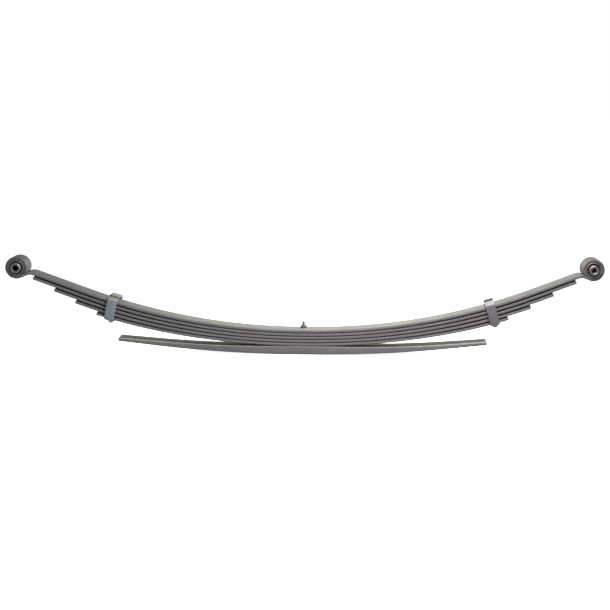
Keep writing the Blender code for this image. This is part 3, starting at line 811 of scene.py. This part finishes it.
def centre_bolt_nut(material):
    """Hexagon nut whose corners are cut by a cone at both ends."""
    corner = NUT_APOTHEM / math.cos(math.pi / 6)
    bore = BOLT_RADIUS + FIT_GAP

    def outside(height, cone):
        def row(angle):
            turn = angle % (math.pi / 3) - math.pi / 6
            return min(NUT_APOTHEM / math.cos(turn), cone), height
        return row

    rows = [(bore, NUT_UNDER_Z + NUT_BORE_CHAMFER), (bore + NUT_BORE_CHAMFER, NUT_UNDER_Z)]
    for step in range(NUT_CHAMFER_STEPS + 1):
        share = step / NUT_CHAMFER_STEPS
        height = NUT_UNDER_Z + NUT_CHAMFER_SLOPE * NUT_CHAMFER * share
        rows.append(outside(height, corner - NUT_CHAMFER * (1 - share)))
    for step in range(NUT_CHAMFER_STEPS + 1):
        share = step / NUT_CHAMFER_STEPS
        height = NUT_TOP_Z - NUT_CHAMFER_SLOPE * NUT_CHAMFER * (1 - share)
        rows.append(outside(height, corner - NUT_CHAMFER * share))
    rows += [(bore + NUT_BORE_CHAMFER, NUT_TOP_Z), (bore, NUT_TOP_Z - NUT_BORE_CHAMFER)]
    nut = turned("centre_bolt_hex_nut", rows, Matrix(), steps=LARGE_ROUND, ring=True)
    carried(nut, "seat", "fastener_steel", material, "centre_bolt_nut")


def tip_pad(side, number, material):
    """Slide pad that keeps a leaf's tip off the leaf above."""
    leaf = GRADED_LEAVES[number]
    station = tip_station(side, number) - PAD_INSET
    _, slope = camber(side, station)
    place = side_frame(side, leaf_point(side, number, station), slope)
    under = LEAF_THICKNESS / 2 + PAD_CLEARANCE
    top = LEAF_THICKNESS / 2 + FIT_GAP + PAD_THICKNESS
    rows = [(0.0, under), (PAD_RADIUS, under), (PAD_RADIUS, top - PAD_CHAMFER),
            (PAD_RADIUS - PAD_CHAMFER, top), (0.0, top)]
    pad = turned(f"{leaf}_{side.name}_slide_pad", rows, place)
    carried(pad, f"{leaf}_{side.name}_arm", "pad_plastic", material, f"{leaf}_{side.name}_tip_pad")


def bend(corner, before, after, radius):
    """Points of an arc that rounds a corner between the directions before and after."""
    half_turn = before.angle(after) / 2
    start = corner - before * radius * math.tan(half_turn)
    side_step = (after - before * before.dot(after)).normalized()
    centre = start + side_step * radius
    points = []
    for step in range(CLIP_BEND_STEPS + 1):
        angle = 2 * half_turn * step / CLIP_BEND_STEPS
        points.append(centre - side_step * radius * math.cos(angle) + before * radius * math.sin(angle))
    return points


def clip_path(depth, seam):
    """Middle line of the strap in (across, up), from the low fold's end round to the high one's.

    Up is measured from the main leaf's top face, and depth is the height of the pack of leaves.
    """
    half = CLIP_THICKNESS / 2
    wall = LEAF_WIDTH / 2 + CLIP_SIDE_CLEARANCE + half
    low = CLIP_LOW_FOLD_RISE + half
    high = low + CLIP_THICKNESS + CLIP_FOLD_CLEARANCE
    corners = [
        Vector((seam + CLIP_FOLD_OVERLAP / 2, low)),
        Vector((-wall, low)),
        Vector((-wall, -depth - FIT_GAP - half)),
        Vector((wall, -depth - FIT_GAP - half)),
        Vector((wall, high)),
        Vector((seam - CLIP_FOLD_OVERLAP / 2, high)),
    ]
    points = [corners[0]]
    for before, corner, after in zip(corners, corners[1:], corners[2:]):
        way_in = (corner - before).normalized()
        way_out = (after - corner).normalized()
        points += bend(corner, way_in, way_out, CLIP_BEND_RADIUS)
    return points + [corners[-1]]


def rebound_clip(side, material):
    """Strap round the pack, folded over the main leaf and riveted under the fifth."""
    last = len(GRADED_LEAVES) - 1
    depth = last * interleaf_gap(side.clip_station) + (last + 1) * LEAF_THICKNESS
    path = clip_path(depth, side.clip_seam)
    pairs = []
    for index, point in enumerate(path):
        before = path[max(index - 1, 0)]
        after = path[min(index + 1, len(path) - 1)]
        along = (after - before).normalized()
        square = Vector((-along.y, along.x)) * CLIP_THICKNESS / 2
        pairs.append((point + square, point - square))
    lean = side.clip_lean
    slant = (side.clip_skew, lean, side.sign, lean * depth)
    stand = Matrix((slant, (side.sign, 0, 0, 0), (0, 1, 0, 0), (0, 0, 0, 1)))
    place = clip_frame(side, 0) @ Matrix.Translation((0.0, 0.0, LEAF_THICKNESS / 2)) @ stand
    layer = CLIP_LAYER + side.sign
    strap = bar(side.name + "_clip_strap", pairs, CLIP_LENGTH, CLIP_CORNER, place, layer)
    hole = clip_frame(side, last) @ Matrix.Translation((0.0, 0.0, -LEAF_THICKNESS))
    drill(strap, hole, RIVET_SHANK_RADIUS + FIT_GAP, CLIP_THICKNESS + RIVET_HOLE_MARGIN)
    carried(strap, f"fifth_leaf_{side.name}_arm", "clip_steel", material, side.name + "_rebound_clip")


def clip_rivet(side, material):
    """Round-headed rivet up through the strap and the fifth leaf."""
    under = -LEAF_THICKNESS / 2 - 2 * FIT_GAP - CLIP_THICKNESS
    top = LEAF_THICKNESS / 2 - FIT_GAP
    dome = under - RIVET_HEAD_HEIGHT + RIVET_DOME_HEIGHT
    rows = [(0.0, top), (RIVET_SHANK_RADIUS, top), (RIVET_SHANK_RADIUS, under),
            (RIVET_HEAD_RADIUS - RIVET_HEAD_CHAMFER, under), (RIVET_HEAD_RADIUS, under - RIVET_HEAD_CHAMFER)]
    for step in range(RIVET_DOME_STEPS):
        angle = math.pi / 2 * step / RIVET_DOME_STEPS
        rows.append((RIVET_HEAD_RADIUS * math.cos(angle), dome - RIVET_DOME_HEIGHT * math.sin(angle)))
    rows.append((0.0, dome - RIVET_DOME_HEIGHT))
    rivet = turned(side.name + "_round_rivet", rows, clip_frame(side, len(GRADED_LEAVES) - 1))
    carried(rivet, f"fifth_leaf_{side.name}_arm", "clip_steel", material, side.name + "_clip_rivet")


def mirrored(rows):
    """Rows of the half of a ring above its middle, followed by the same rows below it."""
    below = [(row[0], -row[1]) for row in rows[::-1]]
    return rows + below


def eye_bushing(side, steel, sleeve_steel, black):
    """Outer can, dished rubber ring, and an inner sleeve with chamfered, serrated ends."""
    arm = f"main_leaf_{side.name}_arm"
    place = Matrix.Translation(side.world(side.eye)) @ Matrix.Rotation(math.pi / 2, 4, "X")
    name = side.name + "_bushing_"

    end = CAN_LENGTH / 2
    rows = mirrored([(CAN_BORE_RADIUS, end - CAN_LIP), (CAN_BORE_RADIUS + CAN_LIP, end),
                     (CAN_OUTER_RADIUS - CAN_LIP, end), (CAN_OUTER_RADIUS, end - CAN_LIP)])
    can = turned(name + "shell", rows, place, steps=LARGE_ROUND, ring=True)
    carried(can, arm, "bushing_steel", steel, name + "can")

    end = RUBBER_LENGTH / 2
    outer = CAN_BORE_RADIUS - RUBBER_CLEARANCE
    inner = SLEEVE_OUTER_RADIUS + RUBBER_CLEARANCE
    rows = []
    for step in range(RUBBER_STEPS + 1):
        share = step / RUBBER_STEPS
        rows.append((inner + (outer - inner) * share, end - RUBBER_DISH * math.sin(math.pi * share)))
    cushion = turned(name + "ring", mirrored(rows), place, steps=LARGE_ROUND, ring=True)
    carried(cushion, arm, "bushing_rubber", black, name + "rubber")

    end = SLEEVE_LENGTH / 2
    from_radius = SLEEVE_BORE_RADIUS + SLEEVE_CHAMFER
    to_radius = SLEEVE_OUTER_RADIUS - SLEEVE_CHAMFER
    toothed = (from_radius + SERRATION_MARGIN, to_radius - SERRATION_MARGIN)

    def serrated(radius, height):
        def row(angle):
            tooth = abs(2 * (angle * SERRATIONS / (2 * math.pi) % 1.0) - 1)
            return radius, math.copysign(abs(height) - SERRATION_DEPTH * (1 - tooth), height)
        return row

    upper = [(SLEEVE_BORE_RADIUS, end - SLEEVE_CHAMFER), (from_radius, end), serrated(toothed[0], end),
             serrated(toothed[1], end), (to_radius, end), (SLEEVE_OUTER_RADIUS, end - SLEEVE_CHAMFER)]
    lower = [(SLEEVE_OUTER_RADIUS, SLEEVE_CHAMFER - end), (to_radius, -end), serrated(toothed[1], -end),
             serrated(toothed[0], -end), (from_radius, -end), (SLEEVE_BORE_RADIUS, SLEEVE_CHAMFER - end)]
    sleeve = turned(name + "inner_tube", upper + lower, place, steps=4 * SERRATIONS, ring=True)
    carried(sleeve, side.name + "_sleeve", "bushing_steel", sleeve_steel, name + "sleeve")


def spring():
    # Each coat's colour is for its sides, and its second colour is a painted top colour for the light on the
    # tops: the leaves' tops darken further towards the tips as painted shade, and the helper's top is lighter
    # where the pack shades it.
    leaf_coat = coated_steel(
        "leaf_coat", colour=(0.067, 0.063, 0.067), painted_top=(0.042, 0.042, 0.039), worn_and_lit=(0.100, 0.095, 0.095),
        shine=0.06, painted_top_at_tips=(0.025, 0.025, 0.0235))
    helper_coat = coated_steel(
        "helper_coat", colour=(0.056, 0.052, 0.056), painted_top=(0.100, 0.100, 0.080), worn_and_lit=(0.30, 0.29, 0.28),
        shine=0.16)
    clip_coats = {
        "front": coated_steel(
            "front_clip_coat", colour=(0.082, 0.092, 0.102), painted_top=(0.046, 0.046, 0.042),
            worn_and_lit=(0.15, 0.15, 0.16), shine=0.12),
        "rear": coated_steel(
            "rear_clip_coat", colour=(0.058, 0.054, 0.061), painted_top=(0.048, 0.048, 0.046),
            worn_and_lit=(0.11, 0.10, 0.11), shine=0.12),
    }
    fastener = dark_steel("fastener_black", (0.055, 0.053, 0.052))
    can_steels = {
        "front": machined_steel(
            "front_can_steel", colour=(0.13, 0.125, 0.125), rust=(0.06, 0.05, 0.045), rust_share=0.45),
        "rear": machined_steel(
            "rear_can_steel", colour=(0.15, 0.125, 0.12), rust=(0.08, 0.055, 0.05), rust_share=0.35),
    }
    cut_end = SLEEVE_LENGTH / 2 - 2 * SERRATION_DEPTH
    # The front bore is painted near black for its shade, and the rear bore a light pinkish brown for the lit
    # faces seen inside it
    sleeve_steels = {
        "front": machined_steel(
            "front_sleeve_steel", colour=(0.085, 0.080, 0.080), rust=(0.06, 0.052, 0.052), rust_share=0.4,
            cut_end=cut_end, bore=SLEEVE_BORE_RADIUS),
        "rear": machined_steel(
            "rear_sleeve_steel", colour=(0.075, 0.060, 0.058), rust=(0.06, 0.042, 0.038), rust_share=0.5,
            cut_end=cut_end, bore=SLEEVE_BORE_RADIUS, painted_bore=BORE_PAINTED_LIGHT),
    }
    black = rubber("bushing_black", (0.014, 0.013, 0.013))
    plastic = pad_plastic("slide_plastic", (0.060, 0.058, 0.056))

    helper(helper_coat)
    centre_bolt(fastener)
    centre_bolt_nut(fastener)
    for side in SIDES:
        for number in range(len(GRADED_LEAVES)):
            leaf_half(side, number, leaf_coat)
            if number:
                tip_pad(side, number, plastic)
        eye_bushing(side, can_steels[side.name], sleeve_steels[side.name], black)
        rebound_clip(side, clip_coats[side.name])
        clip_rivet(side, clip_coats[side.name])


# Studio


def studio():
    """White surroundings, a lit floor, and the lights."""
    bpy.context.scene.view_settings.view_transform = "Standard"
    world = bpy.data.worlds.new("studio")
    world.use_nodes = True
    world.node_tree.nodes["Background"].inputs["Color"].default_value = WHITE
    world.node_tree.nodes["Background"].inputs["Strength"].default_value = 1.0
    bpy.context.scene.world = world

    shape = bmesh.new()
    bmesh.ops.create_circle(shape, cap_ends=True, segments=LARGE_ROUND, radius=FLOOR_RADIUS)
    floor = finished("light_table", shape)
    floor.location.z = FLOOR_Z
    acrylic = Shader("lit_acrylic", roughness=0.9, Emission_Color=WHITE, Emission_Strength=FLOOR_GLOW)
    tone = acrylic.noise(acrylic.local(), (3.0, 3.0, 3.0), detail=3.0)
    acrylic.feed("Base Color", acrylic.blend(tone, (0.20, 0.20, 0.20), (0.22, 0.22, 0.22)))
    floor.data.materials.append(acrylic.material)

    for name, place, size, power, colour in LIGHTS:
        light = bpy.data.lights.new(name, "AREA")
        light.shape = "RECTANGLE"
        light.size, light.size_y = size
        light.energy = power
        light.color = colour
        lamp = new_object(name, light)
        lamp.location = place
        lamp.rotation_euler = (LIGHT_AIM - Vector(place)).to_track_quat("-Z", "Y").to_euler()


def camera():
    """The camera, in front of the spring and slightly above it."""
    lens = bpy.data.cameras.new("camera")
    lens.sensor_width = SENSOR_WIDTH
    lens.lens = FOCAL_LENGTH
    lens.shift_x, lens.shift_y = LENS_SHIFT
    lens.clip_end = VIEW_DEPTH
    viewer = new_object("camera", lens)
    viewer.location = CAMERA_PLACE
    viewer.rotation_euler = CAMERA_TURN
    bpy.context.scene.camera = viewer


spring()
studio()
camera()
